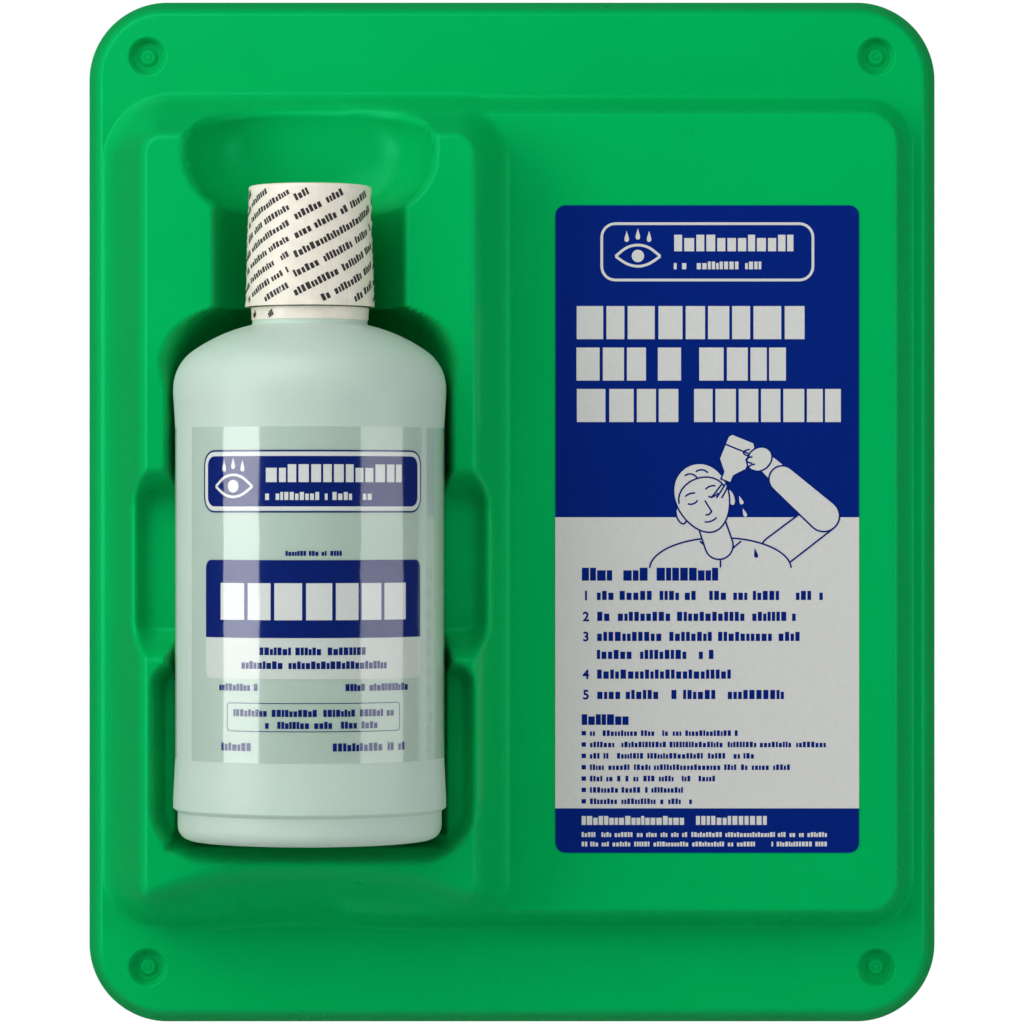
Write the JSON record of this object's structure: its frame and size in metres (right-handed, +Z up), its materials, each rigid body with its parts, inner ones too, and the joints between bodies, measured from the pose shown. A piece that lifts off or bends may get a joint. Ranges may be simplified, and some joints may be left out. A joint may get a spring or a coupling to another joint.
{
  "type": "eyewash station",
  "caption": "Wall-mounted eye and face wash station: moulded tray with a label panel and a pocket that holds a pull-out bottle of eyewash with a sealed screw cap.",
  "frame": {"origin": "on the wall plane, at the centre of the four mounting holes", "axes": "+Z up, -Y out of the wall towards the user, +X to the user's right"},
  "size_m": [0.292, 0.1005, 0.352],
  "materials": {
    "tray_plastic": "semi-gloss moulded sheet",
    "sign_vinyl": "printed satin vinyl",
    "bottle_plastic": "milky blow-moulded polyethylene",
    "clear_film": "clear printed film",
    "seal_film": "printed shrink film",
    "cap_plastic": "white polypropylene",
    "liner_foam": "closed-cell foam",
    "nozzle_plastic": "natural polyethylene",
    "solution": "clear liquid"
  },
  "bodies": {
    "station": {"wall_tray": "tray_plastic", "instruction_label": "sign_vinyl"},
    "bottle_unit": {"bottle": "bottle_plastic", "front_label": "clear_film", "back_label": "clear_film", "eyewash_solution": "solution", "pour_insert": "nozzle_plastic", "twist_seal": "nozzle_plastic", "seal_neck_band": "seal_film"},
    "liner": {"cap_liner": "liner_foam"},
    "cap": {"screw_cap": "cap_plastic"},
    "seal": {"tamper_seal": "seal_film"}
  },
  "joints": [
    {"name": "bottle_pull", "type": "slide", "parent": "station", "child": "bottle_unit", "axis": [0, -1, 0], "range_m": [0, 0.12]},
    {"name": "cap_lift", "type": "slide", "parent": "bottle_unit", "child": "liner", "axis": [0, 0, 1], "range_m": [0, 0.00634]},
    {"name": "cap_turn", "type": "hinge", "parent": "liner", "child": "cap", "pos_m": [-0.06748, -0.055, 0.08], "axis": [0, 0, 1], "range_deg": [0, 540]},
    {"name": "seal_lift", "type": "slide", "parent": "cap", "child": "seal", "axis": [0, 0, 1], "range_m": [0, 0.05]}
  ],
  "couplings": [
    {"joint": "cap_lift", "follows": "cap_turn", "m_per_rad": 0.00067323}
  ]
}
